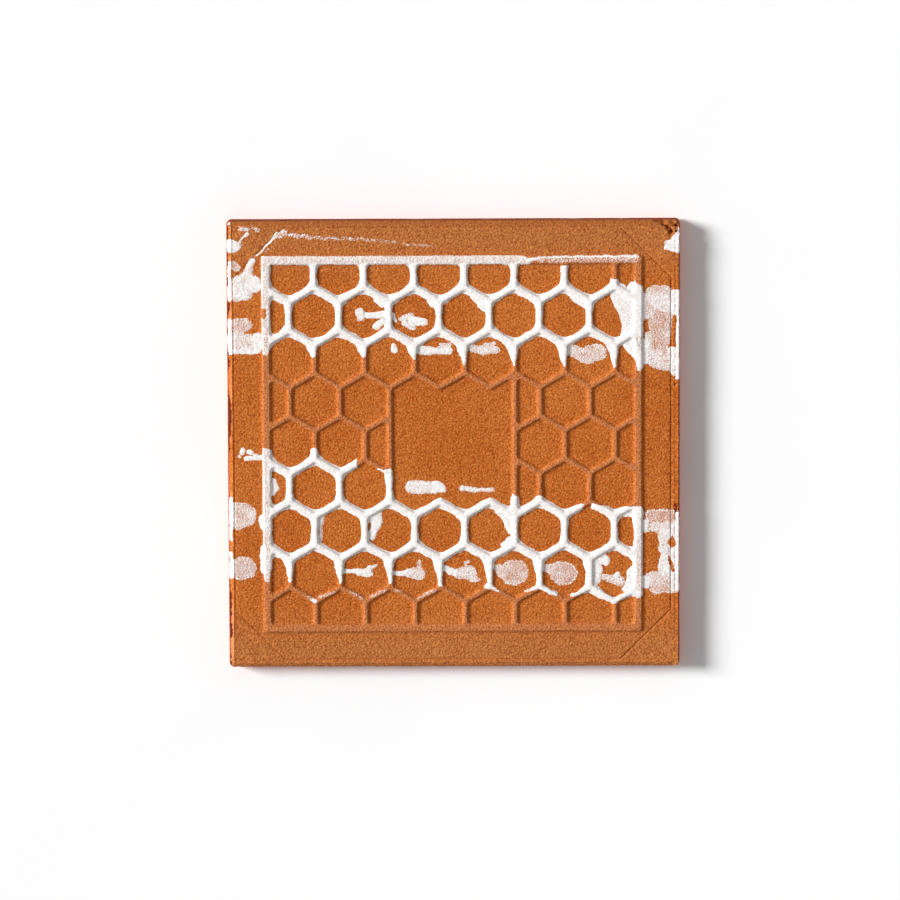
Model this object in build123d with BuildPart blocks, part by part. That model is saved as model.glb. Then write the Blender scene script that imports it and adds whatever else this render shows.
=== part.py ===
from build123d import *
from math import atan2, ceil, cos, degrees, radians, sqrt, tan
import os

os.makedirs("parts", exist_ok=True)

# Square wall tile, dry pressed and fired, lying as it would on a floor:
# glazed face down on Z = 0, ribbed back up. Origin at the middle of the glazed face.

# overall body
tile_size = 150.0
body_thickness = 7.4
corner_radius = 1.5
glaze_edge_radius = 1.5

# sloping shoulder pressed round the edge of the back
shoulder_width = 1.7
shoulder_drop = 0.9

# plate of the lower punch, an octagon that prints a low step in the margin
insert_margin = 3.0
insert_step = 0.15
insert_corner_cut = 16.5
insert_shift_x = -0.4
insert_shift_y = 0.2

# raised square frame and the honeycomb ribs inside it
frame_margin = 11.6
frame_corner_radius = 1.5
frame_rib_width = 2.0
rib_width = 1.1
rib_height = 1.0
draft_angle = 40.0
cell_pitch = 16.57
cell_corner_trim = 0.7
least_open_share = 0.2

# bare panel in the middle, counted in cells
panel_cells_wide = 2.5
panel_rows = 3

# levels of the back
margin_level = body_thickness
ring_level = margin_level - insert_step
shoulder_level = ring_level - shoulder_drop
rib_level = margin_level + rib_height

# plan sizes that follow from the ones above
shoulder_angle = degrees(atan2(shoulder_width, shoulder_drop))
insert_size = tile_size - 2 * insert_margin
frame_size = tile_size - 2 * frame_margin
rib_flank = rib_height * tan(radians(draft_angle))
window_size = frame_size - 2 * (rib_flank + frame_rib_width)

# honeycomb: hexagons stand on a corner, and every other row is shifted by half a pitch
row_spacing = cell_pitch * sqrt(3) / 2
hexagon_radius = cell_pitch / sqrt(3)
mouth_width = cell_pitch - rib_width
mouth_radius = mouth_width / sqrt(3)
least_mouth_area = least_open_share * mouth_width**2 * sqrt(3) / 2
last_row = ceil(window_size / 2 / row_spacing)
last_column = ceil(window_size / 2 / cell_pitch) + 1

# outline of the panel's mouth, straight at the sides and zigzag above and below
panel_half = panel_cells_wide * cell_pitch / 2
panel_last_row = panel_rows // 2
rib_half = rib_width / 2
zigzag_valley = panel_last_row * row_spacing + hexagon_radius / 2 - rib_half / cos(radians(30))
zigzag_peak = zigzag_valley + hexagon_radius / 2
zigzag_steps = round(2 * panel_cells_wide) + 1

field_cells = []
side_cells = []
for row in range(-last_row, last_row + 1):
    y = row * row_spacing
    shift = -cell_pitch / 4 if row % 2 == 0 else cell_pitch / 4
    for column in range(-last_column, last_column + 1):
        x = column * cell_pitch + shift
        if abs(row) > panel_last_row:
            field_cells.append((x, y))
        elif abs(x) > panel_half - cell_pitch / 4:
            side_cells.append((x, y))

zigzag = [
    (-panel_half + step * cell_pitch / 2, zigzag_valley if step % 2 == 0 else zigzag_peak)
    for step in range(zigzag_steps)
]
panel_outline = zigzag + [(x, -y) for x, y in reversed(zigzag)]


def too_small(mouth):
    return mouth.area < least_mouth_area


back_plane = Plane((insert_shift_x, insert_shift_y, 0))

# one mouth of the honeycomb, its corners blunted where the ribs meet
with BuildSketch() as cell_mouth:
    RegularPolygon(mouth_radius, 6, rotation=30)
    chamfer(cell_mouth.vertices(), cell_corner_trim)

with BuildPart() as tile:
    # plain slab with the cushioned edge of the glazed face at the bottom
    with BuildSketch():
        RectangleRounded(tile_size, tile_size, corner_radius)
    extrude(amount=shoulder_level)
    fillet(tile.faces().sort_by(Axis.Z)[0].edges(), glaze_edge_radius)

    # shoulder that slopes in to the ring round the punch plate
    with BuildSketch(Plane.XY.offset(shoulder_level)):
        RectangleRounded(tile_size, tile_size, corner_radius)
    extrude(amount=shoulder_drop, taper=shoulder_angle)

    # step printed by the octagonal punch plate
    with BuildSketch(back_plane.offset(ring_level)) as plate:
        Rectangle(insert_size, insert_size)
        chamfer(plate.vertices(), insert_corner_cut)
    extrude(amount=insert_step)

    # square land that the cells are sunk into
    with BuildSketch(back_plane.offset(margin_level)):
        RectangleRounded(frame_size, frame_size, frame_corner_radius)
    extrude(amount=rib_height, taper=draft_angle)

    # whole rows of cells above and below the panel, cut off square by the frame, which
    # leaves out those that it nearly covers
    with BuildSketch(back_plane.offset(rib_level)) as field:
        with Locations(*field_cells):
            add(cell_mouth.sketch)
        Rectangle(window_size, window_size, mode=Mode.INTERSECT)
        for scrap in field.faces().filter_by(too_small):
            add(scrap, mode=Mode.SUBTRACT)
    extrude(amount=-rib_height, taper=draft_angle, mode=Mode.SUBTRACT)

    # rows beside the panel, cut off by its two straight ribs
    with BuildSketch(back_plane.offset(rib_level)) as sides:
        with Locations(*side_cells):
            add(cell_mouth.sketch)
        Rectangle(window_size, window_size, mode=Mode.INTERSECT)
        Rectangle(2 * (panel_half + rib_half), window_size, mode=Mode.SUBTRACT)
        for scrap in sides.faces().filter_by(too_small):
            add(scrap, mode=Mode.SUBTRACT)
    extrude(amount=-rib_height, taper=draft_angle, mode=Mode.SUBTRACT)

    # floor of the panel
    with BuildSketch(back_plane.offset(rib_level)) as panel:
        with BuildLine():
            Polyline(*panel_outline, close=True)
        make_face()
        Rectangle(2 * (panel_half - rib_half), window_size, mode=Mode.INTERSECT)
        chamfer(panel.vertices(), cell_corner_trim)
    extrude(amount=-rib_height, taper=draft_angle, mode=Mode.SUBTRACT)

tile.part.label = "tile"
export_step(tile.part, "parts/tile.step")
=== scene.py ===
from math import ceil, cos, radians, sin, sqrt, tan

import bmesh
import bpy
import numpy as np
from mathutils import Matrix, Vector, noise
from mathutils.geometry import delaunay_2d_cdt


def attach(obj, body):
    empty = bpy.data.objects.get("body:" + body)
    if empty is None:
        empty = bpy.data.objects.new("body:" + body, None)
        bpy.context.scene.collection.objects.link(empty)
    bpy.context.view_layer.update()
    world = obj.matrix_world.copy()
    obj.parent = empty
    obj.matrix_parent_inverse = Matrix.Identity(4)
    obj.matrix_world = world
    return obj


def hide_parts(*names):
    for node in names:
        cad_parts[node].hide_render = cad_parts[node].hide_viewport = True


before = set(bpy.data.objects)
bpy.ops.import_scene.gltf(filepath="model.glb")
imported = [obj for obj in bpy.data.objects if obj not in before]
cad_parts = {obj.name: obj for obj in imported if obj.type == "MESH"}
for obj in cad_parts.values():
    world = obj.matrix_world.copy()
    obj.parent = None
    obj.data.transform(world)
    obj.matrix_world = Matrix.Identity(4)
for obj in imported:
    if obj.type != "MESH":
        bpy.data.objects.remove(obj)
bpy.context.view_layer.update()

# Pressed clay body. One slab of coarse red clay, pressed face down in a steel die and
# fired; the upper punch leaves a square frame and honeycomb ribs on the back for the
# adhesive to key into. Sizes are in millimetres up to the moment the mesh is written.
MM = 0.001
half_side = 74.75
corner_round = 1.4
relief_shift = (-0.4, 0.2)
flank_run = 0.84
frame_margin = 11.6
frame_rib_width = 2.0
frame_half = 75 - frame_margin - flank_run
window_half = frame_half - frame_rib_width
cell_pitch = 16.57
rib_width = 1.1
mouth_round = 1.35
least_round = 0.12
smallest_mouth = 42
plate_half, plate_corner = 72.0, 16.5

# how a pressed flank runs, from the rounded lip of a rib down to the hollow at its foot
flank_steps = [
    (-0.30, 8.20), (-0.14, 8.18), (0.02, 8.10), (0.17, 7.96),
    (0.52, 7.63), (0.74, 7.47), (0.96, 7.415), (1.28, 7.40),
]
# the faint burr and step that the punch plate prints round the margin
plate_steps = [(-0.10, 7.40), (0.0, 7.39), (0.17, 7.03), (0.34, 7.07), (0.54, 7.25)]
# edge of the tile, from the ring over the shoulder and down the side to the face
edge_steps = [
    (72.95, 7.22), (73.1, 7.25), (73.2, 7.38), (73.33, 7.40), (73.6, 7.22), (74.0, 6.93),
    (74.35, 6.66), (74.6, 6.40), (74.72, 6.1), (74.75, 5.8), (74.75, 5.2), (74.75, 4.6),
    (74.75, 4.0), (74.75, 3.4), (74.75, 2.8), (74.74, 2.3), (74.68, 1.8), (74.5, 1.3),
    (74.2, 0.88), (73.8, 0.56), (73.3, 0.36), (72.6, 0.27), (71.6, 0.25),
]


def hexagon(x, y, width):
    corner = width / sqrt(3)
    return [
        (x + corner * cos(radians(30 + 60 * n)), y + corner * sin(radians(30 + 60 * n)))
        for n in range(6)
    ]


def clipped(outline, axis, limit, keep_below):
    """Cuts a convex outline along one straight edge of the frame or of the panel."""
    side = 1 if keep_below else -1
    inside = [side * (limit - point[axis]) >= 0 for point in outline]
    kept = []
    for n, point in enumerate(outline):
        following = outline[(n + 1) % len(outline)]
        if inside[n]:
            kept.append(point)
        if inside[n] != inside[(n + 1) % len(outline)]:
            share = (limit - point[axis]) / (following[axis] - point[axis])
            kept.append(tuple(point[k] + share * (following[k] - point[k]) for k in (0, 1)))
    return kept


def area_of(outline):
    pairs = zip(outline, outline[1:] + outline[:1])
    return sum(a[0] * b[1] - b[0] * a[1] for a, b in pairs) / 2


def rounded_loop(outline, inset, rounding, spacing, arc_points=5):
    """Walks an outline at a distance inside it, with rounded corners; every inset of one
    outline has the same number of points, so that neighbouring loops join up in quads."""
    corners = [Vector(point) for point in outline]
    count = len(corners)
    arcs = []
    for n in range(count):
        before = (corners[n] - corners[n - 1]).normalized()
        after = (corners[(n + 1) % count] - corners[n]).normalized()
        turn = before.angle_signed(after) * -1
        sense = 1 if turn > 0 else -1
        radius = max(rounding - sense * inset, least_round)
        into_before = Vector((-before.y, before.x))
        into_after = Vector((-after.y, after.x))
        bisector = (into_before + into_after).normalized()
        half_turn = abs(turn) / 2
        offset_corner = corners[n] + bisector * (inset / cos(half_turn))
        middle = offset_corner + bisector * (sense * radius / cos(half_turn))
        arc = []
        for k in range(arc_points):
            share = k / (arc_points - 1)
            spoke = -sense * into_before
            spoke.rotate(Matrix.Rotation(turn * share, 2))
            arc.append(middle + spoke * radius)
        arcs.append(arc)
    loop = []
    for n in range(count):
        loop += arcs[n]
        start, stop = arcs[n][-1], arcs[(n + 1) % count][0]
        pieces = max(1, ceil((corners[(n + 1) % count] - corners[n]).length / spacing))
        loop += [start.lerp(stop, k / pieces) for k in range(1, pieces)]
    return loop


class PressedBack:
    """Collects the loops and fills of the body before they become one mesh."""

    def __init__(self):
        self.points, self.faces = [], []

    def add_loop(self, loop, height):
        first = len(self.points)
        self.points += [(point[0], point[1], height) for point in loop]
        return list(range(first, len(self.points)))

    def join(self, inner, outer):
        count = len(inner)
        for n in range(count):
            following = (n + 1) % count
            self.faces.append((inner[n], outer[n], outer[following], inner[following]))

    def fill(self, outer, holes=(), loose=(), up=True):
        """Fills the flat between loops with triangles, through any loose points on it."""
        rings = [outer, *holes]
        given = [index for ring in rings for index in ring]
        flat = [Vector(self.points[index][:2]) for index in given]
        height = self.points[outer[0]][2]
        edges, start = [], 0
        for ring in rings:
            count = len(ring)
            edges += [(start + n, start + (n + 1) % count) for n in range(count)]
            start += count
        flat += [Vector(point) for point in loose]
        first = len(self.points)
        self.points += [(point[0], point[1], height) for point in loose]
        given += list(range(first, len(self.points)))
        merge_within = 1e-5
        made = delaunay_2d_cdt(flat, edges, [], 1, merge_within)
        origin = [given[source[0]] for source in made[3]]
        ring_paths = [[self.points[index][:2] for index in ring] for ring in holes]
        boxes = [
            (min(p[0] for p in path), max(p[0] for p in path),
             min(p[1] for p in path), max(p[1] for p in path))
            for path in ring_paths
        ]
        for face in made[2]:
            corner = [made[0][n] for n in face]
            mx = sum(c.x for c in corner) / 3
            my = sum(c.y for c in corner) / 3
            hidden = any(
                box[0] < mx < box[1] and box[2] < my < box[3] and within(path, mx, my)
                for path, box in zip(ring_paths, boxes))
            if not hidden:
                triangle = tuple(origin[n] for n in face)
                self.faces.append(triangle if up else triangle[::-1])


def within(path, x, y):
    odd = False
    ax, ay = path[-1]
    for bx, by in path:
        if (ay > y) != (by > y) and x < (bx - ax) * (y - ay) / (by - ay) + ax:
            odd = not odd
        ax, ay = bx, by
    return odd


def near(path, x, y):
    """Square of the distance from a place to the nearest point of a path."""
    return min((x - px) ** 2 + (y - py) ** 2 for px, py in path)


# one fixed seed for the shaking below, which would otherwise follow the clock
noise.seed_set(7)


def scattered(low, high, spacing, keep):
    """Points laid in offset rows about one spacing apart, shaken a little."""
    rows = int((high[1] - low[1]) / spacing)
    columns = int((high[0] - low[0]) / spacing)
    places = []
    for row in range(rows + 1):
        y = low[1] + row * spacing
        for column in range(columns + 1):
            x = low[0] + (column + 0.5 * (row % 2)) * spacing
            shake = noise.noise_vector(Vector((x * 3.1, y * 3.1, 0.5)))
            x, y_here = x + shake.x * spacing * 0.2, y + shake.y * spacing * 0.2
            if keep(x, y_here):
                places.append((x, y_here))
    return places


def moved(outline, shift):
    return [(x + shift[0], y + shift[1]) for x, y in outline]


# mouths of the honeycomb, cut off by the frame and by the straight ribs of the panel
row_spacing = cell_pitch * sqrt(3) / 2
hexagon_radius = cell_pitch / sqrt(3)
panel_half = 1.25 * cell_pitch
mouths = []
for row in range(-4, 5):
    for column in range(-4, 5):
        x = (column + (-0.25 if row % 2 == 0 else 0.25)) * cell_pitch
        if abs(row) < 2 and abs(x) < panel_half - cell_pitch / 4:
            continue
        outline = hexagon(x, row * row_spacing, cell_pitch - rib_width)
        for axis in (0, 1):
            outline = clipped(outline, axis, window_half, True)
            outline = clipped(outline, axis, -window_half, False)
        if abs(row) < 2 and x > 0:
            outline = clipped(outline, 0, panel_half + rib_width / 2, False)
        elif abs(row) < 2:
            outline = clipped(outline, 0, -panel_half - rib_width / 2, True)
        if len(outline) > 2 and abs(area_of(outline)) > smallest_mouth:
            mouths.append(outline)
lift = rib_width / 2 / cos(radians(30))
zigzag = []
for step in range(6):
    height = row_spacing + hexagon_radius * (0.5 if step % 2 == 0 else 1.0) - lift
    zigzag.append(((step - 2.5) * cell_pitch / 2, height))
panel_side = panel_half - rib_width / 2
tip = tan(radians(30)) * rib_width / 2
zigzag[0] = (-panel_side, zigzag[0][1] + tip)
zigzag[-1] = (panel_side, zigzag[-1][1] - tip)
mouths.append([(x, -y) for x, y in zigzag] + zigzag[::-1])

back = PressedBack()
lips = []
for outline in mouths:
    outline = moved(outline, relief_shift)
    loops = [
        back.add_loop(rounded_loop(outline, inset, mouth_round, 0.85), height)
        for inset, height in flank_steps
    ]
    for upper, lower in zip(loops, loops[1:]):
        back.join(upper, lower)
    lips.append(loops[0])
    floor_path = [back.points[index][:2] for index in loops[-1]]
    xs, ys = [p[0] for p in floor_path], [p[1] for p in floor_path]
    back.fill(loops[-1], loose=scattered(
        (min(xs), min(ys)), (max(xs), max(ys)), 1.6,
        lambda x, y: within(floor_path, x, y) and near(floor_path, x, y) > 0.8))


def square(half, cut=0.0):
    if not cut:
        return [(half, -half), (half, half), (-half, half), (-half, -half)]
    inner = half - cut
    return [
        (half, -inner), (half, inner), (inner, half), (-inner, half),
        (-half, inner), (-half, -inner), (-inner, -half), (inner, -half),
    ]


frame_outline = moved(square(frame_half), relief_shift)
outer_loops = [
    back.add_loop(rounded_loop(frame_outline, -out, 0.75, 0.9), height)
    for out, height in flank_steps
]
for upper, lower in zip(outer_loops, outer_loops[1:]):
    back.join(upper, lower)
back.fill(outer_loops[0], holes=lips)

plate_outline = moved(square(plate_half, plate_corner), relief_shift)
plate_loops = [
    back.add_loop(rounded_loop(plate_outline, -out, 0.6, 0.9), height)
    for out, height in plate_steps
]
for upper, lower in zip(plate_loops, plate_loops[1:]):
    back.join(upper, lower)

edge_loops = [
    back.add_loop(rounded_loop(square(half_side), half_side - half, corner_round, 0.6, 7), height)
    for half, height in edge_steps
]
for upper, lower in zip(edge_loops, edge_loops[1:]):
    back.join(upper, lower)


frame_foot = [back.points[n][:2] for n in outer_loops[-1]]
plate_rim = [back.points[n][:2] for n in plate_loops[0]]
foot_limit = frame_half + flank_steps[-1][0]
margin_points = scattered(
    (-72, -72), (72, 72), 1.7,
    lambda x, y: max(abs(x - relief_shift[0]), abs(y - relief_shift[1])) > foot_limit + 0.7
    and within(plate_rim, x, y) and near(plate_rim, x, y) > 0.5)
back.fill(plate_loops[0], holes=[outer_loops[-1]], loose=margin_points)

plate_foot = [back.points[n][:2] for n in plate_loops[-1]]
ring_rim = edge_steps[0][0]
# corner that crumbled where the clay was left loose in the die
crumb_middle, crumb_reach = (64.2, 67.2), 7.6


def past_crumb(x, y):
    dx, dy = x - crumb_middle[0], y - crumb_middle[1]
    return sqrt(dx * dx + dy * dy) - crumb_reach if dx > 0 and dy > 0 else -9.0


def in_ring(x, y):
    return (max(abs(x), abs(y)) < ring_rim - 0.3 and abs(x) + abs(y) > 126
            and not within(plate_foot, x, y) and near(plate_foot, x, y) > 0.3)


ring_points = scattered(
    (-73, -73), (73, 73), 0.8, lambda x, y: in_ring(x, y) and past_crumb(x, y) < -0.5)
ring_points += scattered(
    (64, 67), (73, 73), 0.36, lambda x, y: in_ring(x, y) and past_crumb(x, y) > -0.5)
back.fill(edge_loops[0], holes=[plate_loops[-1]], loose=ring_points)

face_points = scattered((-70, -70), (70, 70), 4.0, lambda x, y: max(abs(x), abs(y)) < 70)
back.fill(edge_loops[-1], loose=face_points, up=False)


def fine(x, y, z, size, seed):
    return noise.noise(Vector((x / size + seed, y / size - seed, z / size + 0.37 * seed)))


settled = []
for x, y, z in back.points:
    reach = max(abs(x), abs(y))
    if z > 0.3:
        # slow waves where the clay filled the die unevenly
        wave = fine(x, y, z, 14, 3.0) * 0.05 + fine(x, y, z, 4.0, 8.0) * 0.035
        sway = Vector((fine(x, y, 0, 9, 21.0), fine(x, y, 0, 9, 34.0))) * 0.09
        if reach < 70:
            x, y = x + sway.x, y + sway.y
        z += wave if reach < 73 else wave * 0.4
    if x > 73.15 and 6.3 < z < 7.45:
        # on the right the shoulder was squeezed up into a low burr
        z = 7.2 + 0.16 * (min(x, 74.4) - 73.15)
    if reach > 73.2 and z > 0.8:
        # ragged arris and side
        ragged = abs(fine(x, y, z, 1.1, 5.0)) * 0.22 + abs(fine(x, y, z, 3.4, 13.0)) * 0.16
        ragged *= 1.0 if z > 4 else 0.15
        x -= (ragged if abs(x) > 73.2 else 0) * (1 if x > 0 else -1)
        y -= (ragged if abs(y) > 73.2 else 0) * (1 if y > 0 else -1)
        z -= abs(fine(x, y, z, 1.6, 17.0)) * 0.25 if z > 5.5 else 0
    out = past_crumb(x, y) + 0.5 * fine(x, y, 0, 1.5, 44.0)
    if out > 0 and z > 3.0:
        # crumbled corner: a trench round it, and lumps inside
        trench = 1.0 - min(1.0, max(0.0, (out - 1.1) / 0.7))
        depth = min(1.0, out / 0.25) * (0.42 + 0.6 * trench + 1.3 * fine(x, y, 0, 1.3, 40.0)
                                       + 0.6 * fine(x, y, 0, 0.75, 41.0))
        depth *= min(1.0, max(0.0, (y - 69.0) / 1.6))
        z -= depth * min(1.0, (z - 3.0) / 3.0)
    dx, dy = -x - 70.5, y - 70.0
    if dx > 0 and dy > 0 and z > 4.0:
        # chipped corner at the upper left
        z -= min(1.0, (dx + dy) / 2) * (0.45 + 0.5 * fine(x, y, z, 0.9, 50.0))
    settled.append((x, y, max(z, 0.25)))


def placed(name, mesh):
    piece = bpy.data.objects.new(name, mesh)
    bpy.context.scene.collection.objects.link(piece)
    return piece


def as_mesh(name, points, faces):
    mesh = bpy.data.meshes.new(name)
    mesh.from_pydata([(x * MM, y * MM, z * MM) for x, y, z in points], [], faces)
    shell = bmesh.new()
    shell.from_mesh(mesh)
    bmesh.ops.recalc_face_normals(shell, faces=shell.faces)
    shell.to_mesh(mesh)
    shell.free()
    mesh.shade_smooth()
    return placed(name, mesh)


tile_body = as_mesh("tile_body", settled, back.faces)


class Recipe:
    """A node material written step by step, each step one call."""

    def __init__(self, name):
        self.material = bpy.data.materials.new(name)
        self.material.use_nodes = True
        self.tree = self.material.node_tree
        self.shader = self.tree.nodes["Principled BSDF"]

    def put(self, kind, inputs=(), **settings):
        node = self.tree.nodes.new(kind)
        for key, value in settings.items():
            setattr(node, key, value)
        for socket, value in dict(inputs).items():
            self.feed(node.inputs[socket], value)
        return node

    def feed(self, socket, value):
        if isinstance(value, bpy.types.NodeSocket):
            self.tree.links.new(value, socket)
        elif isinstance(value, bpy.types.Node):
            self.tree.links.new(value.outputs[0], socket)
        else:
            socket.default_value = value

    def grain(self, size_mm, detail=2.0, rough=0.5, seed=0.0):
        if not hasattr(self, "place"):
            self.place = self.put("ShaderNodeTexCoord").outputs["Object"]
        scaled = self.put("ShaderNodeVectorMath", {
            0: self.place, 1: (1 / (size_mm * MM),) * 3}, operation="MULTIPLY")
        shifted = self.put("ShaderNodeVectorMath", {0: scaled, 1: (seed, seed * 1.7, seed * 0.3)},
                           operation="ADD")
        return self.put("ShaderNodeTexNoise", {
            "Vector": shifted, "Scale": 1.0, "Detail": detail, "Roughness": rough,
        }).outputs["Fac"]

    def math(self, operation, a, b=0.0, c=0.0):
        return self.put("ShaderNodeMath", {0: a, 1: b, 2: c}, operation=operation).outputs[0]

    def ramp(self, value, low, high, bottom=0.0, top=1.0):
        return self.put("ShaderNodeMapRange", {
            "Value": value, "From Min": low, "From Max": high, "To Min": bottom, "To Max": top,
        }, interpolation_type="SMOOTHSTEP").outputs[0]

    def mix(self, share, a, b):
        node = self.put("ShaderNodeMix", data_type="RGBA")
        self.feed(node.inputs["Factor"], share)
        self.feed(node.inputs[6], a)
        self.feed(node.inputs[7], b)
        return node.outputs[2]

    def bump(self, height, distance_mm, strength=1.0, under=None):
        node = self.put("ShaderNodeBump", {
            "Strength": strength, "Distance": distance_mm * MM, "Height": height})
        if under is not None:
            self.feed(node.inputs["Normal"], under)
        return node.outputs["Normal"]


def rgb(red, green, blue):
    """A colour given by its 0 to 255 values."""
    return tuple(
        (v / 255 / 12.92 if v <= 10 else ((v / 255 + 0.055) / 1.055) ** 2.4)
        for v in (red, green, blue)
    ) + (1.0,)


def clay_colour(recipe):
    """Fired red clay: orange brown where the punch pressed it smooth, paler on the rib tops, with
    fine light and dark grains all over; a painted highlight on the left shoulder and painted
    shade along the upper edge."""
    height = recipe.put("ShaderNodeSeparateXYZ", {0: recipe.put(
        "ShaderNodeTexCoord").outputs["Object"]})
    on_rib = recipe.ramp(height.outputs["Z"], 7.65 * MM, 8.15 * MM)
    cloud = recipe.ramp(recipe.grain(22, 3.0, 0.55, seed=4.0), 0.35, 0.68)
    colour = recipe.mix(cloud, rgb(187, 96, 32), rgb(198, 109, 43))
    far = recipe.ramp(recipe.math("ABSOLUTE", height.outputs["Y"]), 52 * MM, 70 * MM)
    colour = recipe.mix(recipe.math("MULTIPLY", far, 0.75), colour, rgb(181, 112, 62))
    colour = recipe.mix(on_rib, colour, rgb(196, 120, 73))
    dark = recipe.ramp(recipe.grain(0.62, 1.5, 0.5, seed=9.0), 0.50, 0.38)
    colour = recipe.mix(recipe.math("MULTIPLY", dark, 0.62), colour, rgb(140, 58, 10))
    light = recipe.ramp(recipe.grain(0.6, 1.5, 0.5, seed=15.0), 0.52, 0.62)
    colour = recipe.mix(recipe.math("MULTIPLY", light, 0.5), colour, rgb(232, 150, 80))
    # painted shade: the clay along the upper edge (y above 73 mm) is darkened towards a deep
    # brown
    rim = recipe.ramp(height.outputs["Y"], 73.1 * MM, 73.6 * MM)
    colour = recipe.mix(recipe.math("MULTIPLY", rim, 0.5), colour, rgb(146, 78, 30))
    # painted highlight: where the left shoulder faces the lamp, it is lightened in patches
    # towards a pale clay colour
    shoulder_highlight = recipe.math("MULTIPLY", recipe.ramp(height.outputs["Z"], 6.6 * MM, 6.9 * MM),
                       recipe.ramp(height.outputs["X"], -73.2 * MM, -73.5 * MM))
    shoulder_highlight = recipe.math("MULTIPLY", shoulder_highlight, recipe.ramp(recipe.grain(7, 2.0, seed=51.0), 0.42, 0.6))
    colour = recipe.mix(recipe.math("MULTIPLY", shoulder_highlight, 0.5), colour, rgb(232, 160, 112))
    side = recipe.ramp(height.outputs["Z"], 6.4 * MM, 5.8 * MM)
    return recipe.mix(recipe.math("MULTIPLY", side, 0.8), colour, rgb(134, 66, 28))


def clay_bump(recipe, depth=1.0, strength=1.0):
    pores = recipe.grain(0.7, 2.0, 0.55, seed=2.0)
    drift = recipe.grain(3.0, 2.0, 0.5, seed=30.0)
    low = recipe.bump(drift, 0.10 * depth, strength)
    return recipe.bump(pores, 0.42 * depth, strength, under=low)


fired_clay = Recipe("fired_clay")
fired_clay.feed(fired_clay.shader.inputs["Base Color"], clay_colour(fired_clay))
fired_clay.feed(fired_clay.shader.inputs["Normal"], clay_bump(fired_clay))
fired_clay.feed(fired_clay.shader.inputs["Roughness"],
                fired_clay.ramp(fired_clay.grain(1.2, 2.0, seed=6.0), 0.3, 0.7, 0.78, 0.92))
fired_clay.shader.inputs["Specular IOR Level"].default_value = 0.12
tile_body.data.materials.append(fired_clay.material)
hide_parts("tile")
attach(tile_body, "root")

# Glaze. Vivid orange glass poured over the face and fired on; it rounds the edge and runs
# up the sides, where it thins out to a ragged dark red brown line.
glaze_depth = 0.25
wave_room = 0.03
full_glaze = 4.2
# every coat reaches a little into what it lies on, and stays inside the size of the tile
coat_foot = 0.03
side_limit, floor_limit, top_limit = 74.995, 0.002, 8.398
run_up = {"left": 6.35, "right": 6.2, "top": 3.6, "bottom": 4.6}


def surface_of(piece, lowest=-1.0, highest=99.0):
    """Points, outward directions and triangles of a piece between two heights, in mm."""
    mesh = piece.data
    mesh.calc_loop_triangles()
    points = np.array([vertex.co[:] for vertex in mesh.vertices]) / MM
    normals = np.array([vertex.normal[:] for vertex in mesh.vertices])
    triangles = np.array([triangle.vertices[:] for triangle in mesh.loop_triangles])
    middle = points[triangles][:, :, 2].mean(axis=1)
    return points, normals, triangles[(middle > lowest) & (middle < highest)]


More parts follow.
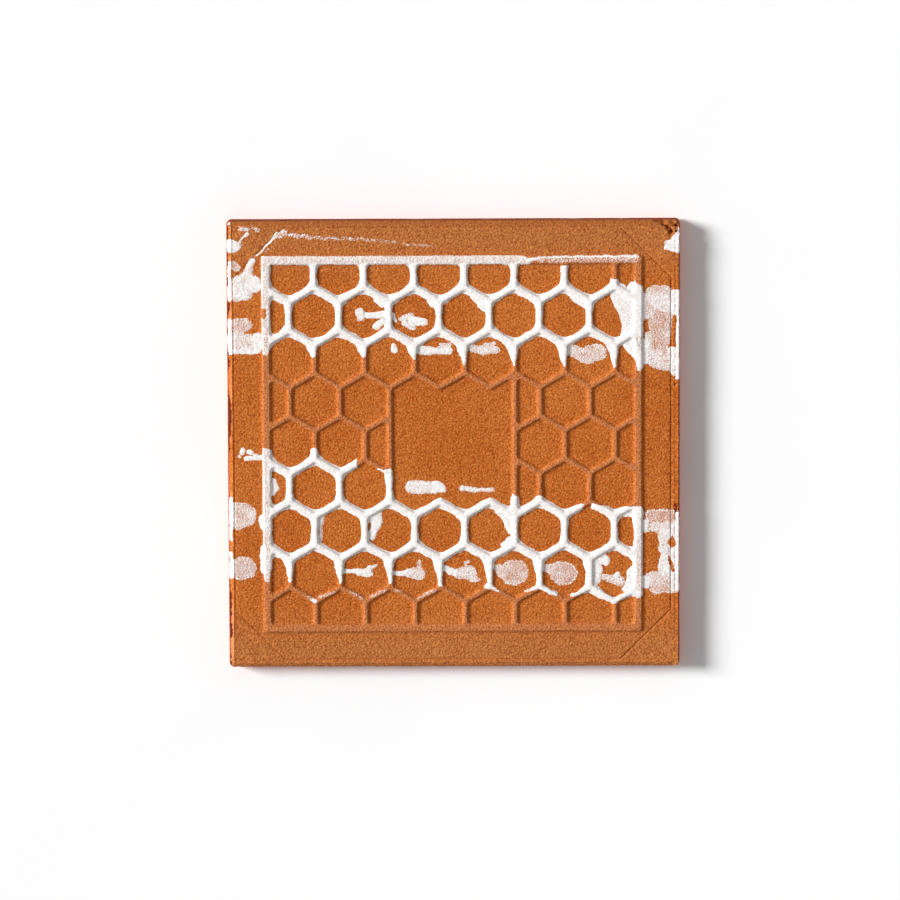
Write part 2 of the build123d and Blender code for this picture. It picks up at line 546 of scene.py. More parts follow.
def lay_coat(name, under, cover, build, fine, coarse):
    """Lays a thin closed coat on a surface: cover tells how far inside the coat a place is
    and how solid the coat is there, build tells how thick it stands."""
    points, normals, triangles = under
    depth, solid = cover(points)

    # halve the edges that are too long: to fine near the end of the coat, coarse elsewhere
    most_rounds = 6
    for _ in range(most_rounds):
        corners = points[triangles]
        widest = np.linalg.norm(corners - np.roll(corners, 1, axis=1), axis=2).max(axis=1)
        triangles = triangles[depth[triangles].max(axis=1) > -widest]
        pairs = np.sort(np.concatenate(
            [triangles[:, [0, 1]], triangles[:, [1, 2]], triangles[:, [2, 0]]]), axis=1)
        keys, place = np.unique(pairs[:, 0] * len(points) + pairs[:, 1], return_inverse=True)
        first, second = keys // len(points), keys % len(points)
        length = np.linalg.norm(points[first] - points[second], axis=1)
        at_edge = np.minimum(abs(depth[first]), abs(depth[second])) < np.maximum(0.7, length)
        cut = length > np.where(at_edge, fine, coarse)
        if not cut.any():
            break
        number = np.full(len(keys), -1)
        number[cut] = len(points) + np.arange(cut.sum())
        middle = (points[first[cut]] + points[second[cut]]) / 2
        facing = normals[first[cut]] + normals[second[cut]]
        facing /= np.linalg.norm(facing, axis=1)[:, None]
        new_depth, new_solid = cover(middle)
        points = np.concatenate([points, middle])
        normals = np.concatenate([normals, facing])
        depth = np.concatenate([depth, new_depth])
        solid = np.concatenate([solid, new_solid])
        halves = number[place.reshape(-1)].reshape(3, -1).T
        smaller = []
        for corner, half in zip(triangles.tolist(), halves.tolist()):
            split = sum(h >= 0 for h in half)
            if split == 0:
                smaller.append(corner)
                continue
            while (split == 1 and half[0] < 0) or (split == 2 and half[2] >= 0):
                corner, half = corner[1:] + corner[:1], half[1:] + half[:1]
            (a, b, c), (ab, bc, ca) = corner, half
            if split == 1:
                smaller += [[a, ab, c], [ab, b, c]]
            elif split == 2:
                smaller += [[ab, b, bc], [a, ab, bc], [a, bc, c]]
            else:
                smaller += [[a, ab, ca], [ab, b, bc], [bc, c, ca], [ab, bc, ca]]
        triangles = np.array(smaller)

    # trim the sheet where the coat ends
    place_of, rims = {}, {}
    top_points, sources, rises = [], [], []
    rise = build(points, depth, solid)

    def kept(index):
        if index not in place_of:
            place_of[index] = len(top_points)
            top_points.append(points[index])
            sources.append((normals[index], solid[index]))
            rises.append(rise[index])
        return place_of[index]

    def rim(inside, outside):
        key = (inside, outside)
        if key not in rims:
            share = depth[inside] / (depth[inside] - depth[outside])
            share = min(0.92, max(0.12, share))
            rims[key] = len(top_points)
            top_points.append(points[inside] * (1 - share) + points[outside] * share)
            sources.append((normals[inside], solid[inside]))
            rises.append(0.0)
        return rims[key]

    sheet = []
    inner = depth > 0
    for corner in triangles.tolist():
        count = sum(inner[index] for index in corner)
        if count == 3:
            sheet.append([kept(index) for index in corner])
        elif count == 2:
            while inner[corner[2]]:
                corner = corner[1:] + corner[:1]
            a, b, c = corner
            first, second = kept(a), kept(b)
            far, near_end = rim(b, c), rim(a, c)
            sheet += [[first, second, far], [first, far, near_end]]
        elif count == 1:
            while not inner[corner[0]]:
                corner = corner[1:] + corner[:1]
            a, b, c = corner
            sheet.append([kept(a), rim(a, b), rim(a, c)])
    flat = np.array(top_points)
    outward = np.array([source[0] for source in sources])
    rises = np.array(rises)
    top = flat + outward * rises[:, None]
    beneath = np.full(len(flat), -1)
    standing = rises > 0
    beneath[standing] = len(flat) + np.arange(standing.sum())
    under_points = flat[standing] - outward[standing] * coat_foot
    every = np.concatenate([top, under_points])
    every[:, :2] = np.clip(every[:, :2], -side_limit, side_limit)
    every[:, 2] = np.clip(every[:, 2], floor_limit, top_limit)
    lower = np.where(beneath >= 0, beneath, np.arange(len(flat)))
    faces = sheet + [[lower[a], lower[c], lower[b]] for a, b, c in sheet]
    mesh = bpy.data.meshes.new(name)
    mesh.from_pydata((every * MM).tolist(), [], [[int(n) for n in face] for face in faces])
    mesh.update()
    firmness = [source[1] for source in sources]
    firmness += [firmness[n] for n in np.nonzero(standing)[0]]
    layer = mesh.attributes.new("firmness", "FLOAT", "POINT")
    layer.data.foreach_set("value", firmness)
    mesh.shade_smooth()
    rim_numbers = set(rims.values())
    for edge in mesh.edges:
        if edge.vertices[0] in rim_numbers and edge.vertices[1] in rim_numbers:
            edge.use_edge_sharp = True
    return placed(name, mesh)


def ripple(points, size, seed):
    return np.array([
        noise.noise(Vector((x / size + seed, y / size - seed, z / size)))
        for x, y, z in points.tolist()])


def eased(value, low, high):
    share = np.clip((value - low) / (high - low), 0, 1)
    return share * share * (3 - 2 * share)


def glaze_cover(points):
    x, y, z = points.T
    run = np.full(len(points), run_up["bottom"])
    run = np.where(y > 70, run_up["top"], run)
    run = np.where((x > 70) & (x > abs(y)), run_up["right"], run)
    run = np.where((x < -70) & (-x > abs(y)), run_up["left"], run)
    run += ripple(points * (1, 1, 0), 15, 3.0) * 1.3 + ripple(points * (1, 1, 0), 4.5, 7.0) * 0.9
    run += ripple(points * (1, 1, 0), 1.1, 9.0) * 0.5
    deep = np.where(np.maximum(abs(x), abs(y)) < 72.9, np.where(z < 1.5, 5.0, -5.0), run - z)
    return deep, np.clip(deep / full_glaze, 0, 1)


def glaze_build(points, depth, solid):
    wave = ripple(points, 9, 2.0) * 0.02
    return np.where(depth > 0, (glaze_depth - wave_room + wave) * eased(depth, -0.15, 1.8), 0.0)


glaze_skin = lay_coat("glaze_skin", surface_of(tile_body, highest=7.3), glaze_cover,
                      glaze_build, 0.45, 1.8)
orange_glaze = Recipe("orange_glaze")
firm = orange_glaze.put("ShaderNodeAttribute", attribute_name="firmness").outputs["Fac"]
deep_share = orange_glaze.ramp(orange_glaze.math(
    "ADD", firm, orange_glaze.math("MULTIPLY", orange_glaze.grain(1.4, 2.0, seed=3.0), 0.25)),
    0.20, 0.95)
pool = orange_glaze.ramp(orange_glaze.grain(26, 2.0, 0.5, seed=8.0), 0.3, 0.7)
glass = orange_glaze.mix(pool, rgb(248, 92, 14), rgb(252, 102, 20))
orange_glaze.feed(orange_glaze.shader.inputs["Base Color"],
                  orange_glaze.mix(deep_share, rgb(98, 34, 14), glass))
orange_glaze.feed(orange_glaze.shader.inputs["Roughness"],
                  orange_glaze.ramp(firm, 0.25, 0.9, 0.7, 0.06))
orange_glaze.feed(orange_glaze.shader.inputs["Specular IOR Level"],
                  orange_glaze.ramp(firm, 0.25, 0.9, 0.1, 0.5))
orange_glaze.feed(orange_glaze.shader.inputs["Coat Weight"],
                  orange_glaze.ramp(firm, 0.3, 0.9, 0.0, 0.3))
orange_glaze.shader.inputs["Coat Roughness"].default_value = 0.03
orange_glaze.feed(orange_glaze.shader.inputs["Normal"], orange_glaze.bump(
    orange_glaze.grain(11, 1.5, 0.4, seed=12.0), 0.12, 0.6))
glaze_skin.data.materials.append(orange_glaze.material)
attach(glaze_skin, "root")

# Dried slip. White engobe that rollers carried onto the back in the kiln line: two bands
# of it coat the ribs, and it lies in thin smears on the hollows and on the margin.
# Each stroke is how solid it is, then x, y and half width of its points.
coat_reach = 1.34
slip_depth = 0.13
film_depth = 0.012
slip_lowest = 5.8
upper_strokes = [
    (0.75, [(-30.8, 43.9, 1.83), (-30.4, 42.9, 1.33)]),
    (1, [(-28.4, 43.4, 1.0), (-21.8, 43.6, 1.2)]),
    (0.6, [(-31.4, 41.9, 0.67)]),
    (0.7, [(-17.2, 42.2, 0.83), (-14.2, 42.9, 1.33)]),
    (0.75, [(-16.2, 40.9, 1.0), (-13.5, 39.5, 1.17)]),
    (1, [(-13.5, 41.5, 1.33), (-9.5, 41.0, 1.27)]),
    (1, [(-19.7, 43.6, 0.67), (-19.2, 41.5, 0.53)]),
    (1, [(-19.7, 33.2, 0.87), (-19.5, 31.5, 1.07)]),
    (0.8, [(-10.9, 31.7, 1.53), (-6.9, 31.5, 1.33), (-1.6, 31.5, 1.33)]),
    (0.6, [(-4.2, 32.8, 1.0), (-1.3, 33.5, 0.73)]),
    (0.62, [(6.4, 32.2, 1.4), (10.3, 31.5, 1.5), (14.3, 31.8, 1.2)]),
    (0.55, [(10.7, 33.2, 1.0), (13.3, 33.8, 0.67)]),
    (0.56, [(39.5, 31.2, 2.0), (44.1, 29.5, 2.67), (48.1, 30.8, 2.67)]),
    (0.5, [(44.1, 32.2, 1.0), (47.1, 32.5, 1.33)]),
    (1, [(43.5, 49.2, 0.67), (45.1, 46.9, 1.17)]),
    (1, [(39.2, 50.6, 1.5), (41.5, 48.4, 1.6), (43.6, 47.2, 1.4), (45.0, 45.6, 1.2)]),
    (1, [(6.8, 49.6, 1.2), (9.0, 47.6, 1.5), (10.4, 45.4, 1.0)]),
    (1, [(-7.6, 48.2, 1.2), (-6.6, 46.6, 1.0)]),
    (1, [(-24.8, 48.8, 1.3), (-23.4, 47.0, 1.2)]), (1, [(-23.6, 41.2, 1.1), (-25.6, 39.6, 1.0)]),
    (0.8, [(54.6, 50.9, 3.1), (58.0, 45.2, 3.7), (59.0, 38.8, 3.1), (57.7, 35.8, 2.9)]),
    (1, [(59.7, 51.9, 2.33), (61.7, 48.6, 2.0), (61.7, 41.9, 1.67)]),
    (0.85, [(61.7, 42.5, 1.0), (61.7, 36.9, 1.0)]),
    (1, [(58.4, 33.5, 2.33), (61.0, 29.8, 1.67), (62.0, 26.5, 1.0)]),
    (0.85, [(24.6, 61.6, 0.7), (30.2, 62.6, 0.35), (45.1, 62.9, 0.4), (60.7, 62.8, 0.45)]),
    (0.2, [(28.6, 61.8, 1.1), (60.4, 61.8, 1.1)]),
    (0.74, [(-67.5, 58.6, 1.33), (-68.5, 54.6, 3.33), (-69.5, 51.9, 3.67)]),
    (0.62, [(-70.8, 53.9, 3.0), (-71.5, 50.9, 3.0)]),
    (1, [(-65.5, 54.9, 1.67), (-65.2, 52.9, 1.67)]),
    (0.45, [(-73.5, 60.6, 1.17), (-71.5, 59.3, 1.33)]),
    (1, [(-74.0, 61.0, 0.53), (-74.1, 48.6, 0.57)]),
    (0.5, [(-71.5, 40.2, 2.5), (-68.9, 40.2, 2.33)]),
    (0.6, [(-72.2, 34.8, 3.33), (-67.5, 34.2, 3.17)]),
    (1, [(-64.9, 36.5, 1.33), (-64.6, 31.8, 1.0)]),
    (1, [(-74.0, 41.9, 0.57), (-74.1, 31.8, 0.63)]),
    (0.9, [(-73.8, 31.2, 0.67), (-64.9, 31.5, 0.83)]),
    (0.85, [(-73.8, 66.7, 2.17), (-72.2, 66.3, 2.0)]),
    (1, [(-74.2, 74.0, 0.73), (-73.7, 74.9, 0.5)]),
    (0.35, [(-69.9, 72.4, 0.87), (-67.9, 72.0, 1.0)]),
    (0.3, [(-65.9, 72.7, 0.73), (-64.6, 71.7, 0.8)]),
    (0.9, [(-70.5, 67.7, 0.3), (-69.2, 69.3, 0.33), (-67.7, 70.5, 0.53)]),
    (0.25, [(-70.2, 67.0, 0.5), (-69.2, 67.0, 0.33)]),
    (1, [(-67.4, 60.0, 0.87), (-66.2, 61.6, 1.0)]),
    (0.9, [(-65.5, 63.0, 0.2), (-62.6, 65.3, 0.27)]),
    (0.95, [(-62.2, 65.7, 0.27), (-60.2, 68.0, 0.37), (-57.9, 70.7, 0.53)]),
    (0.45, [(-57.9, 69.7, 0.87), (-55.6, 71.0, 1.13)]),
    (0.33, [(-55.6, 70.4, 0.8), (-47.7, 69.7, 0.73)]),
    (0.3, [(-47.7, 69.5, 0.67), (-31.1, 68.7, 0.53)]),
    (0.24, [(-31.1, 68.7, 0.53), (-18.5, 67.7, 0.53)]),
    (0.2, [(-16.2, 67.0, 0.47), (-7.2, 66.3, 0.43)]),
    (0.25, [(-61.6, 64.7, 0.5), (-60.9, 65.3, 0.4)]),
    (0.52, [(66.5, 49.9, 3.2), (69.2, 49.6, 3.6)]),
    (0.66, [(68.3, 48.0, 3.4), (71.2, 46.4, 2.9)]),
    (1, [(73.6, 50.2, 1.6), (73.8, 44.6, 1.7)]),
    (1, [(74.4, 45.2, 0.8), (74.5, 22.4, 0.8)]),
    (0.6, [(64.3, 49.2, 1.6), (64.6, 42.9, 1.6)]),
    (0.46, [(67.3, 43.0, 3.4), (68.2, 37.0, 3.6), (67.6, 33.0, 3.4)]),
    (0.5, [(71.6, 42.4, 1.4), (70.6, 34.6, 1.4)]),
    (0.7, [(64.4, 36.6, 1.3), (64.6, 31.6, 1.6)]),
    (0.6, [(65.7, 29.1, 3.0), (69.7, 27.8, 3.33)]),
    (0.78, [(72.3, 31.2, 1.67), (73.3, 24.5, 1.67)]),
    (0.85, [(63.7, 33.8, 1.33), (63.4, 27.8, 1.33)]),
    (1, [(74.5, 71.8, 0.5), (74.1, 69.4, 1.2), (73.2, 66.5, 2.4), (74.4, 65.2, 1.5)]),
    (1, [(72.0, 66.2, 2.0), (70.4, 65.7, 0.9)]), (0.5, [(70.4, 67.3, 0.9)]),
]
# tails of slip drawn out below the crossings, one to a cell
upper_strokes += [
    (1, [(x, 33.5, 1.7), (round(x + 0.5, 1), 30.5, 1.13), (round(x + 1.0, 1), end, 0.47)])
    for x, end in ((-46.9, 30.2), (-30.4, 30.2), (-13.9, 29.1), (2.6, 27.8), (19.0, 27.5),
                   (35.6, 26.8), (52.2, 26.5))]
lower_strokes = [
    (1, [(-70.0, -1.5, 0.83), (-70.2, -2.3, 0.87)]),
    (1, [(-67.9, -2.0, 0.8), (-67.2, -2.3, 0.8)]),
    (0.9, [(-71.2, -3.4, 0.4), (-70.8, -3.7, 0.4)]),
    (0.95, [(-68.9, -4.4, 0.73), (-63.6, -4.0, 0.87)]),
    (0.95, [(-66.2, -2.8, 0.5), (-65.2, -3.4, 0.53)]),
    (1, [(-63.6, -24.1, 1.07), (-63.6, -27.1, 1.13)]),
    (1, [(-63.2, -34.8, 1.13), (-63.2, -41.9, 1.2)]),
    (1, [(-59.9, -11.7, 0.8), (-59.3, -14.1, 1.4), (-59.9, -16.1, 0.73)]),
    (0.54, [(-71.5, -23.5, 4.67), (-69.9, -23.5, 4.33)]),
    (0.5, [(-71.2, -41.2, 3.83), (-69.2, -41.2, 3.67)]),
    (1, [(-74.0, -17.8, 0.6), (-74.1, -31.2, 0.6)]),
    (1, [(-74.0, -36.5, 0.63), (-74.1, -43.9, 0.63)]),
    (0.9, [(-73.2, -19.4, 0.5), (-73.0, -26.1, 0.67)]),
    (0.9, [(-73.0, -38.5, 0.5), (-73.0, -43.2, 0.67)]),
    (1, [(-25.1, -7.9, 0.27), (-22.5, -9.0, 0.53)]),
    (1, [(19.8, -16.8, 0.3), (19.8, -21.1, 0.73)]),
    (1, [(15.0, -22.0, 1.3), (17.6, -24.6, 1.6), (19.0, -29.0, 1.2)]),
    (1, [(18.6, -32.0, 1.3), (16.4, -33.8, 1.0)]),
    (0.7, [(-44.0, -24.1, 1.07), (-44.3, -27.8, 0.87), (-44.5, -31.8, 0.67)]),
    (0.8, [(-26.8, -24.1, 2.0), (-25.8, -25.8, 1.83), (-27.4, -30.5, 1.33)]),
    (0.85, [(-25.1, -22.4, 1.13), (-24.8, -25.5, 1.13)]),
    (0.95, [(-36.7, -42.2, 0.73), (-33.1, -42.4, 0.8)]),
    (0.85, [(-31.7, -42.5, 1.13), (-28.4, -42.9, 1.53)]),
    (0.8, [(-28.1, -41.5, 1.0), (-25.8, -40.2, 0.4)]),
    (0.95, [(-20.1, -42.9, 0.87), (-16.5, -43.0, 0.93)]),
    (0.62, [(-15.2, -42.9, 1.5), (-11.9, -43.2, 2.33)]),
    (0.55, [(-11.9, -40.2, 1.0), (-11.5, -38.5, 0.33)]),
    (0.95, [(-3.2, -41.5, 0.87), (0.4, -42.9, 1.13)]),
    (0.6, [(1.7, -43.2, 2.0), (5.0, -42.9, 2.5)]),
    (0.55, [(4.0, -39.9, 1.0), (4.7, -39.2, 0.67)]),
    (0.6, [(6.4, -44.9, 1.33), (8.4, -45.2, 0.5)]),
    (0.55, [(14.0, -41.2, 1.13), (16.3, -42.5, 2.67)]),
    (0.45, [(19.6, -42.9, 4.4), (20.3, -42.9, 4.4)]),
    (0.55, [(30.6, -41.5, 1.5), (33.9, -41.9, 2.67)]),
    (0.45, [(35.9, -43.2, 4.17), (37.2, -43.2, 3.83)]),
    (1, [(47.5, -39.2, 2.0), (49.1, -37.9, 1.67), (50.4, -39.2, 1.33)]),
    (0.8, [(46.3, -38.9, 1.6), (46.9, -45.6, 1.9)]),
    (0.95, [(47.8, -41.9, 1.67), (47.1, -45.2, 1.13)]),
    (0.6, [(50.1, -44.6, 1.33), (55.1, -45.9, 1.67)]),
    (1, [(54.4, -43.7, 0.77), (53.7, -44.2, 0.67)]),
    (1, [(59.1, -42.5, 1.5), (58.4, -47.2, 1.5), (56.4, -48.6, 0.83)]),
    (0.9, [(-47.0, -51.9, 0.53), (-46.3, -52.3, 0.6)]),
    (0.28, [(-48.6, -50.9, 0.47), (-47.3, -51.6, 0.53)]),
    (0.3, [(-45.0, -50.9, 0.53), (-40.0, -49.2, 0.6)]),
    (0.26, [(-34.4, -48.9, 0.53), (-30.8, -51.3, 0.6)]),
    (0.25, [(-27.8, -50.9, 0.53), (-23.1, -48.6, 0.67)]),
    (0.25, [(-19.8, -48.6, 0.47), (-17.8, -48.6, 0.47)]),
    (0.24, [(-11.9, -51.3, 0.53), (-6.6, -48.6, 0.67)]),
    (0.5, [(10.7, -47.2, 0.73), (14.6, -48.9, 0.47)]),
    (0.6, [(23.3, -49.2, 0.4), (27.9, -47.9, 0.67)]),
    (1, [(28.9, -47.9, 0.93), (33.9, -50.1, 0.73)]),
    (0.95, [(39.2, -50.3, 0.53), (44.5, -48.6, 1.0)]),
    (1, [(44.8, -48.6, 1.07), (52.8, -52.6, 0.93), (53.1, -52.6, 0.93)]),
    (1, [(53.1, -52.6, 0.93), (57.7, -50.3, 1.0), (61.7, -49.9, 1.0)]),
    (0.7, [(-13.9, -14.1, 2.33), (-6.6, -14.1, 2.17)]),
    (1, [(-5.6, -13.7, 1.83), (-3.9, -14.7, 1.5)]),
    (0.75, [(2.7, -14.4, 1.07), (8.0, -15.1, 0.87), (12.7, -14.9, 0.8)]),
    (1, [(54.6, -22.7, 1.1), (61.0, -23.0, 2.0)]), (1, [(60.6, -25.0, 1.5), (60.8, -31.0, 0.9)]),
    (1, [(59.6, -35.5, 1.2)]),
    (0.42, [(65.6, -24.0, 2.5), (73.2, -24.2, 2.5)]),
    (0.64, [(66.6, -27.6, 2.0), (71.6, -28.0, 2.4)]),
    (0.7, [(73.0, -27.4, 1.8), (73.4, -48.0, 2.0)]),
    (1, [(74.4, -23.6, 0.8), (74.5, -48.6, 0.8)]),
    (0.72, [(70.2, -30.6, 2.6), (69.6, -36.5, 1.6), (70.2, -42.0, 2.6)]),
    (0.56, [(65.6, -45.4, 2.6), (72.0, -45.6, 3.2)]),
    (0.45, [(67.0, -48.0, 2.3), (73.0, -47.6, 2.2)]),
    (0.9, [(63.4, -26.8, 1.33), (63.7, -28.8, 1.0)]),
    (0.9, [(63.4, -45.2, 1.33), (63.7, -47.2, 1.33)]),
]
lower_strokes += [
    (1, [(x, -37.9, 1.7), (round(x + 0.5, 1), -41.5, 1.2), (round(x + 1.0, 1), end, 0.5)])
    for x, end in ((-55.3, -44.9), (-38.7, -45.2), (-22.1, -45.6), (-5.7, -46.2),
                   (10.8, -46.9), (27.4, -47.6), (44.0, -48.6))]
# islands of clay that the smears on the margin left bare
bare_upper = [
    [(63.4, 41.9), (64.7, 41.5), (64.5, 37.9), (63.5, 37.5)],
    [(72.0, 38.5), (72.6, 42.9), (73.6, 42.2), (73.5, 37.2), (72.6, 34.8), (71.8, 35.5)],
]
bare_lower = [
    [(62.7, -33.8), (63.4, -29.6), (64.2, -29.2), (66.0, -30.8), (68.0, -33.5), (67.7, -35.5),
     (68.8, -36.5), (68.0, -40.2), (66.7, -42.2), (64.4, -42.9), (62.7, -41.2)],
    [(70.8, -33.0), (72.6, -30.4), (73.6, -33.4), (72.4, -35.2)],
    [(70.8, -36.8), (71.8, -38.0), (73.4, -42.6), (72.4, -43.0), (71.2, -40.2)],
]
# lines where the two bands end on the ribs, from left to right
upper_edge_low = [
    (-63.6, 30.2), (-46.0, 29.5), (-29.4, 29.8), (-12.9, 28.8), (3.7, 27.1),
    (19.9, 26.5), (37.2, 26.1), (53.4, 25.8), (63.4, 24.5),
]
lower_top = [
    (-64.9, -0.7), (-54.3, -0.7), (-32.1, -0.7), (-31.9, -5.7), (-31.7, -11.1),
    (-23.1, -11.1), (-22.8, -7.7), (-19.2, -7.7), (-18.8, -17.1), (38.2, -17.1),
    (40.0, -19.6), (56.0, -20.4), (63.4, -21.0),
]
lower_bottom = [
    (-63.6, -45.6), (-54.6, -45.9), (-37.7, -46.2), (-21.5, -46.6), (-5.2, -47.2),
    (11.7, -47.9), (27.9, -48.6), (38.5, -48.6), (44.8, -51.3), (63.4, -51.6),
]
# rubbed off again: along the right end of the upper frame, and where a rib was missed
rubbed_upper = [
    (1, [(27.2, 62.3, 2.4), (63.4, 62.3, 2.6)]), (1, [(62.4, 62.0, 2.9), (62.4, 56.0, 2.8)]),
    (1, [(53.4, 61.0, 2.3), (53.4, 57.2, 2.0)]), (1, [(34.9, 60.0, 0.9), (34.8, 56.5, 0.5)]),
    (1, [(-62.6, 45.2, 0.8), (-62.6, 43.4, 0.9)]), (1, [(19.0, 64.6, 0.9), (27.5, 63.8, 1.5)]),
]
rubbed_lower = [(1, [(44.8, -15.5, 1.2), (44.2, -21.4, 1.4)])]


def rib_gap(x, y):
    """How far a place is from the middle of the nearest rib."""
    x, y = x - relief_shift[0], y - relief_shift[1]
    nearest, hub_x, hub_row = np.full(len(x), 1e9), np.zeros(len(x)), np.zeros(len(x))
    for row in (np.floor(y / row_spacing), np.ceil(y / row_spacing)):
        shift = np.where(row % 2 == 0, -0.25, 0.25)
        middle = (np.round(x / cell_pitch - shift) + shift) * cell_pitch
        away = (x - middle) ** 2 + (y - row * row_spacing) ** 2
        closer = away < nearest
        nearest = np.where(closer, away, nearest)
        hub_x = np.where(closer, middle, hub_x)
        hub_row = np.where(closer, row, hub_row)
    dx, dy = x - hub_x, y - hub_row * row_spacing
    upright = cell_pitch / 2 - abs(dx)
    up_right, up_left = dx * 0.5 + dy * sqrt(0.75), -dx * 0.5 + dy * sqrt(0.75)
    outward = np.sign(hub_row)
    in_rows = abs(hub_row) < 1.5
    in_panel = in_rows & (abs(x) < panel_half)
    panel_end = in_panel & (abs(hub_row) > 0.5)
    slants = []
    for across in (up_right, up_left):
        gap = cell_pitch / 2 - np.where(panel_end, across * outward, abs(across))
        slants.append(np.where(in_panel & ~panel_end, 9.0, gap))
    # the roller came from the left and below, so it coats the flanks that face it first
    slants[0] = slants[0] - np.where(up_right > 0, 0.35, 0.0)
    upright = np.where(in_panel, 9.0, upright)
    upright = np.where(in_rows, np.minimum(upright, abs(abs(x) - panel_half)), upright)
    upright = upright + np.where(np.where(in_panel, x, dx) > 0, 0.0, 0.5)
    square_reach = np.maximum(abs(x), abs(y))
    frame_gap = np.maximum(abs(square_reach - (window_half + 1.2)) - 0.3, 0.0)
    # slip gathers in the corners, which rounds them
    inside = -np.log(sum(np.exp(-1.3 * gap) for gap in (upright, *slants, frame_gap))) / 1.3
    return np.where(square_reach > window_half + 0.6, frame_gap, inside)


def stroke_depth(x, y, strokes):
    """How far inside the strokes a place is, and how solid they are there."""
    depth, solid = np.full(len(x), -9.0), np.zeros(len(x))
    for firmness, path in strokes:
        parts = list(zip(path, path[1:])) or [(path[0], path[0])]
        here = np.full(len(x), -9.0)
        for (ax, ay, ar), (bx, by, br) in parts:
            run_x, run_y = bx - ax, by - ay
            along = run_x * run_x + run_y * run_y
            share = np.clip(((x - ax) * run_x + (y - ay) * run_y) / max(along, 1e-6), 0, 1)
            away = np.hypot(x - ax - share * run_x, y - ay - share * run_y)
            here = np.maximum(here, ar + share * (br - ar) - away)
        depth = np.maximum(depth, here)
        solid = np.maximum(solid, firmness * eased(here, -0.25, 0.15 + 1.3 * (1 - firmness)))
    return depth, solid


def patch_depth(x, y, outline):
    """How far inside a closed outline a place is; below zero outside it."""
    inside, away = np.zeros(len(x), bool), np.full(len(x), 99.0)
    for (ax, ay), (bx, by) in zip(outline, outline[1:] + outline[:1]):
        share = np.clip(((x - ax) * (bx - ax) + (y - ay) * (by - ay))
                        / ((bx - ax) ** 2 + (by - ay) ** 2), 0, 1)
        away = np.minimum(away, np.hypot(x - ax - share * (bx - ax), y - ay - share * (by - ay)))
        if ay != by:
            crosses = (ay > y) != (by > y)
            inside ^= crosses & (x < (bx - ax) * (y - ay) / (by - ay) + ax)
    return np.where(inside, away, -away)


def slip_cover(points, strokes, rubbed, bare, ends):
    x, y, z = points.T
    broad_x, broad_y, tight_x, tight_y = (
        ripple(points * (1, 1, 0), size, seed)
        for size, seed in ((2.6, 4.0), (2.6, 19.0), (0.8, 6.0), (0.8, 26.0)))
    wx = x + broad_x * 0.45 + tight_x * 0.22
    wy = y + broad_y * 0.45 + tight_y * 0.22
    square_reach = np.maximum(abs(x - relief_shift[0]), abs(y - relief_shift[1]))
    left, fade = np.full(len(x), 9.0), np.full(len(x), 9.0)
    for line, sense, blunt in ends:
        limit = np.interp(x, [p[0] for p in line], [p[1] for p in line])
        left = np.minimum(left, (wy - limit) * sense)
        fade = np.minimum(fade, (wy - limit) * sense * blunt)
    across = rib_gap(x + tight_x * 0.12, y + tight_y * 0.12)
    reach = np.clip(0.42 + fade, 0.3, coat_reach) + broad_x * 0.32 + tight_y * 0.15
    on_ribs = np.minimum(reach - across, left)
    off, _ = stroke_depth(wx, wy, rubbed)
    on_ribs = np.minimum(on_ribs, -off)
    on_ribs = np.where(square_reach > frame_half + 0.5, -9.0, on_ribs)
    depth, solid = stroke_depth(wx, wy, strokes)
    for outline in bare:
        depth = np.minimum(depth, -patch_depth(wx, wy, outline))
    on_top = np.where(square_reach > window_half, 0.62, 0.98)
    solid = np.maximum(solid, np.where(on_ribs > -0.2, on_top, 0.0))
    depth = np.maximum(depth, on_ribs)
    depth = np.where(z < slip_lowest, -9.0, depth)
    return depth, solid


def slip_build(points, depth, solid):
    lumps = 1 + 0.35 * ripple(points, 1.6, 11.0)
    stand = film_depth + (slip_depth - film_depth) * eased(solid, 0.35, 1.0)
    return np.where(depth > 0, stand * lumps * eased(depth, -0.03, 0.5), 0.0)


back_surface = surface_of(tile_body, lowest=5.6)
slip_upper = lay_coat(
    "slip_upper", back_surface,
    lambda p: slip_cover(p, upper_strokes, rubbed_upper, bare_upper,
                         [(upper_edge_low, 1, 0.2)]),
    slip_build, 0.46, 0.92)
slip_lower = lay_coat(
    "slip_lower", back_surface,
    lambda p: slip_cover(p, lower_strokes, rubbed_lower, bare_lower,
                         [(lower_bottom, 1, 0.2), (lower_top, -1, 2.0)]),
    slip_build, 0.45, 0.9)

white_slip = Recipe("white_slip")
solid_part = white_slip.put("ShaderNodeAttribute", attribute_name="firmness").outputs["Fac"]
speck = white_slip.grain(0.36, 2.0, 0.7, seed=5.0)
cloudy = white_slip.grain(3.2, 2.0, 0.5, seed=17.0)
held = white_slip.math("MULTIPLY_ADD", solid_part, 1.25, -0.14)
held = white_slip.math("ADD", held, white_slip.math(
    "MULTIPLY", white_slip.math("SUBTRACT", speck, 0.5), 1.8))
held = white_slip.math("ADD", held, white_slip.math(
    "MULTIPLY", white_slip.math("SUBTRACT", cloudy, 0.5), 0.5))
share = white_slip.ramp(held, 0.02, 0.86)
# where the roller only grazed the clay, the slip sits on its highest grains alone
trace = white_slip.ramp(white_slip.math(
    "MULTIPLY_ADD", solid_part, 0.6, white_slip.grain(0.36, 1.5, 0.6, seed=40.0)), 0.57, 0.69)
faint = white_slip.ramp(solid_part, 0.42, 0.36)
share = white_slip.math(
    "MULTIPLY_ADD", white_slip.math("SUBTRACT", trace, share), faint, share)
chalk = white_slip.mix(white_slip.ramp(white_slip.grain(0.8, 2.0, 0.6, seed=28.0), 0.62, 0.40),
                       rgb(251, 249, 247), rgb(233, 226, 222))
white_slip.feed(white_slip.shader.inputs["Base Color"],
                white_slip.mix(share, clay_colour(white_slip), chalk))
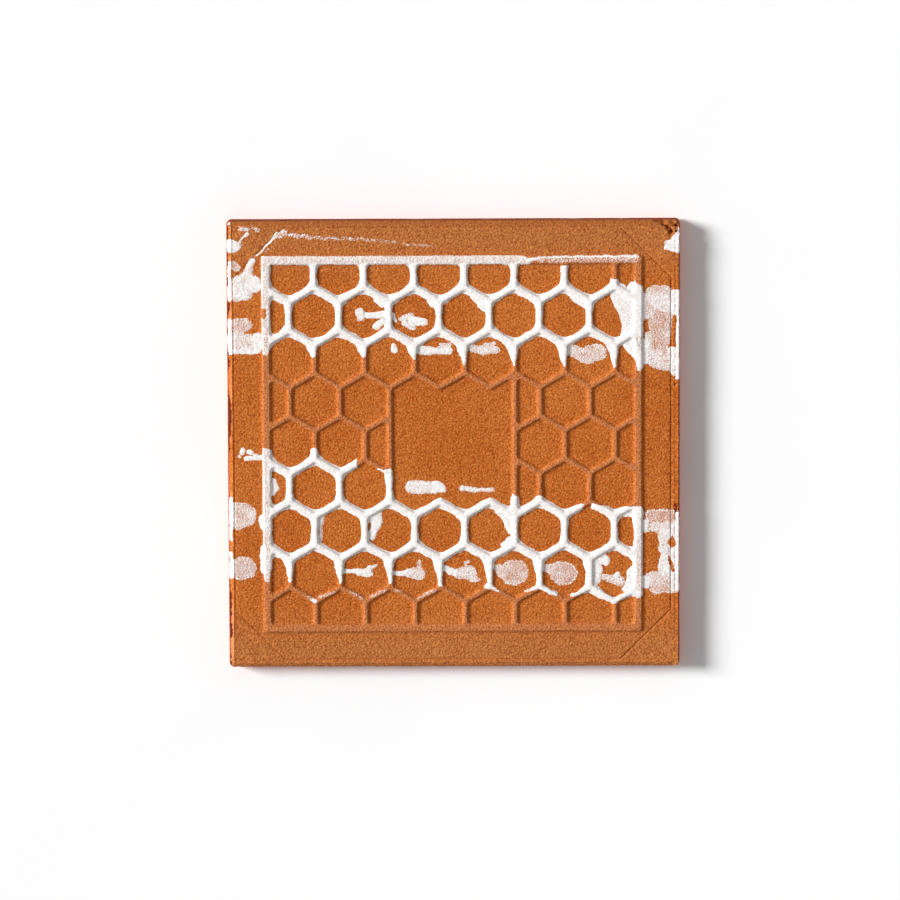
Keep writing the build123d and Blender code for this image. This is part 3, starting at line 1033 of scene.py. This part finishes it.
# a thin film lets the grain of the clay stand out, a full coat levels it
shows_grain = white_slip.ramp(solid_part, 0.92, 0.6, 0.3, 1.0)
white_slip.feed(white_slip.shader.inputs["Normal"], clay_bump(white_slip, 0.75, shows_grain))
white_slip.shader.inputs["Roughness"].default_value = 0.85
white_slip.shader.inputs["Specular IOR Level"].default_value = 0.2
for piece in (slip_upper, slip_lower):
    piece.data.materials.append(white_slip.material)
    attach(piece, "root")

# Studio: a white table with the tile lying on its glazed face, one broad lamp low on the
# left so that the ribs throw short shadows, and even white light from all round.
table = bpy.data.meshes.new("table_top")
table.from_pydata([(-6, -6, 0), (6, -6, 0), (6, 6, 0), (-6, 6, 0)], [], [(0, 1, 2, 3)])
table_top = placed("table_top", table)
white_card = Recipe("white_card")
mottle = white_card.ramp(white_card.grain(60, 2.0, seed=1.0), 0.3, 0.7)
white_card.feed(white_card.shader.inputs["Base Color"],
                white_card.mix(mottle, (0.965, 0.965, 0.965, 1), (0.98, 0.98, 0.98, 1)))
white_card.shader.inputs["Roughness"].default_value = 0.9
white_card.shader.inputs["Specular IOR Level"].default_value = 0.0
table.materials.append(white_card.material)

world = bpy.data.worlds.new("white_room")
bpy.context.scene.world = world
world.use_nodes = True
nodes, links = world.node_tree.nodes, world.node_tree.links
background = nodes["Background"]
background.inputs["Color"].default_value = (1.0, 1.0, 1.0, 1.0)
# full white where it is seen or mirrored, and a lower level as the light on the tile
room_light = 0.33
path = nodes.new("ShaderNodeLightPath")
either = nodes.new("ShaderNodeMath")
either.operation = "MAXIMUM"
links.new(path.outputs["Is Camera Ray"], either.inputs[0])
links.new(path.outputs["Is Glossy Ray"], either.inputs[1])
through = nodes.new("ShaderNodeMath")
through.operation = "MAXIMUM"
links.new(either.outputs[0], through.inputs[0])
links.new(path.outputs["Is Transmission Ray"], through.inputs[1])
level = nodes.new("ShaderNodeMapRange")
level.inputs["To Min"].default_value = room_light
level.inputs["To Max"].default_value = 1.0
links.new(through.outputs[0], level.inputs["Value"])
links.new(level.outputs[0], background.inputs["Strength"])

lamp_data = bpy.data.lights.new("broad_lamp", "SUN")
lamp_data.energy = 4.35
lamp_data.angle = radians(20)
broad_lamp = bpy.data.objects.new("broad_lamp", lamp_data)
lamp_height, lamp_side = radians(30), radians(164)
lamp_from = Vector((cos(lamp_side) * cos(lamp_height), sin(lamp_side) * cos(lamp_height),
                    sin(lamp_height)))
broad_lamp.rotation_mode = "QUATERNION"
broad_lamp.rotation_quaternion = lamp_from.to_track_quat("Z", "Y")
bpy.context.scene.collection.objects.link(broad_lamp)

# Camera: a long lens high above the tile, leaning a little towards the upper side, so that
# the square keeps nearly parallel edges.
lean = radians(8.5)
distance = 2.36
aim = Vector((-0.00126, -0.00168, 0.0074))
camera_data = bpy.data.cameras.new("camera")
camera_data.sensor_width = 36
camera_data.lens = 284.9
camera_data.clip_end = 50
camera = bpy.data.objects.new("camera", camera_data)
roll = radians(-0.2)
camera.matrix_world = (
    Matrix.Translation(aim + distance * Vector((0, sin(lean), cos(lean))))
    @ Matrix.Rotation(-lean, 4, "X") @ Matrix.Rotation(roll, 4, "Z"))
bpy.context.scene.collection.objects.link(camera)
bpy.context.scene.camera = camera
bpy.context.scene.view_settings.view_transform = "Standard"
